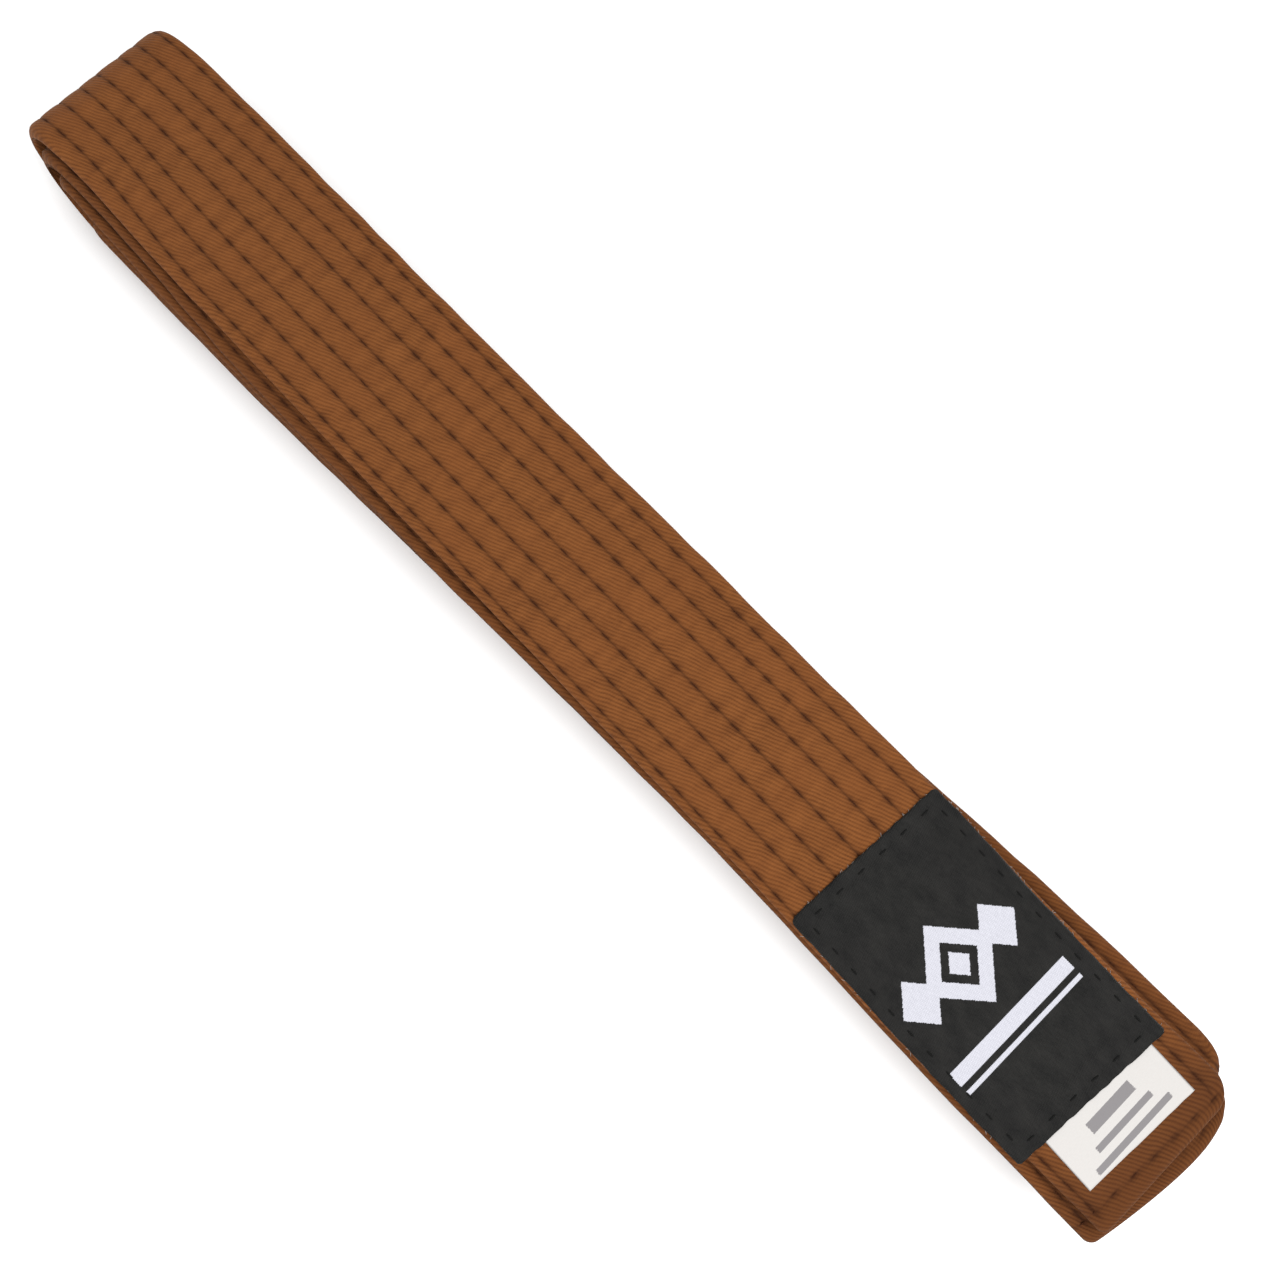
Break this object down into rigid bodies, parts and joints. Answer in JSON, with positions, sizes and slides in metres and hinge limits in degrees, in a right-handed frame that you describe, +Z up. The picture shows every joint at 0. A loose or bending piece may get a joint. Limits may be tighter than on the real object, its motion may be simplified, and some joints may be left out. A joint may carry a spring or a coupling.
{
  "type": "martial arts belt",
  "caption": "Quilted brown cotton martial arts belt, folded flat in a narrow stack, with a woven label near its upper tip; the labelled top run lifts off the stack.",
  "frame": {"origin": "middle of the underside of the folded stack", "axes": "+X from the folds to the labelled tip, +Y across the belt, +Z up through the stack"},
  "size_m": [0.3148, 0.045, 0.0252],
  "materials": {
    "twill_brown": "matt cotton twill, quilted",
    "core_cotton": "undyed plain cotton",
    "thread_brown": "matt sewing thread",
    "thread_black": "matt sewing thread",
    "label_black": "woven satin with a white woven emblem",
    "tape_white": "smooth printed tape"
  },
  "bodies": {
    "folded_stack": {"core_ply_1_stack": "core_cotton", "core_ply_2_stack": "core_cotton", "core_ply_3_stack": "core_cotton", "cover_stack": "twill_brown", "row_1_bobbin_thread_stack": "thread_brown", "row_1_needle_thread_stack": "thread_brown", "row_2_bobbin_thread_stack": "thread_brown", "row_2_needle_thread_stack": "thread_brown", "row_3_bobbin_thread_stack": "thread_brown", "row_3_needle_thread_stack": "thread_brown", "row_4_bobbin_thread_stack": "thread_brown", "row_4_needle_thread_stack": "thread_brown", "row_5_bobbin_thread_stack": "thread_brown", "row_5_needle_thread_stack": "thread_brown", "row_6_bobbin_thread_stack": "thread_brown", "row_6_needle_thread_stack": "thread_brown", "row_7_bobbin_thread_stack": "thread_brown", "row_7_needle_thread_stack": "thread_brown", "tip_row_bobbin_thread_stack": "thread_brown", "tip_row_needle_thread_stack": "thread_brown"},
    "label_run": {"core_ply_1_label_run": "core_cotton", "core_ply_2_label_run": "core_cotton", "core_ply_3_label_run": "core_cotton", "cover_label_run": "twill_brown", "label_bobbin_thread": "thread_black", "label_needle_thread": "thread_black", "row_1_bobbin_thread_label_run": "thread_brown", "row_1_needle_thread_label_run": "thread_brown", "row_2_bobbin_thread_label_run": "thread_brown", "row_2_needle_thread_label_run": "thread_brown", "row_3_bobbin_thread_label_run": "thread_brown", "row_3_needle_thread_label_run": "thread_brown", "row_4_bobbin_thread_label_run": "thread_brown", "row_4_needle_thread_label_run": "thread_brown", "row_5_bobbin_thread_label_run": "thread_brown", "row_5_needle_thread_label_run": "thread_brown", "row_6_bobbin_thread_label_run": "thread_brown", "row_6_needle_thread_label_run": "thread_brown", "row_7_bobbin_thread_label_run": "thread_brown", "row_7_needle_thread_label_run": "thread_brown", "size_tape": "tape_white", "tip_row_bobbin_thread_label_run": "thread_brown", "tip_row_needle_thread_label_run": "thread_brown", "woven_label": "label_black"}
  },
  "joints": [
    {"name": "label_run_lift", "type": "hinge", "parent": "folded_stack", "child": "label_run", "pos_m": [-0.14455, 0.0004, 0.0245], "axis": [0, -1, 0], "range_deg": [0, 175]}
  ]
}
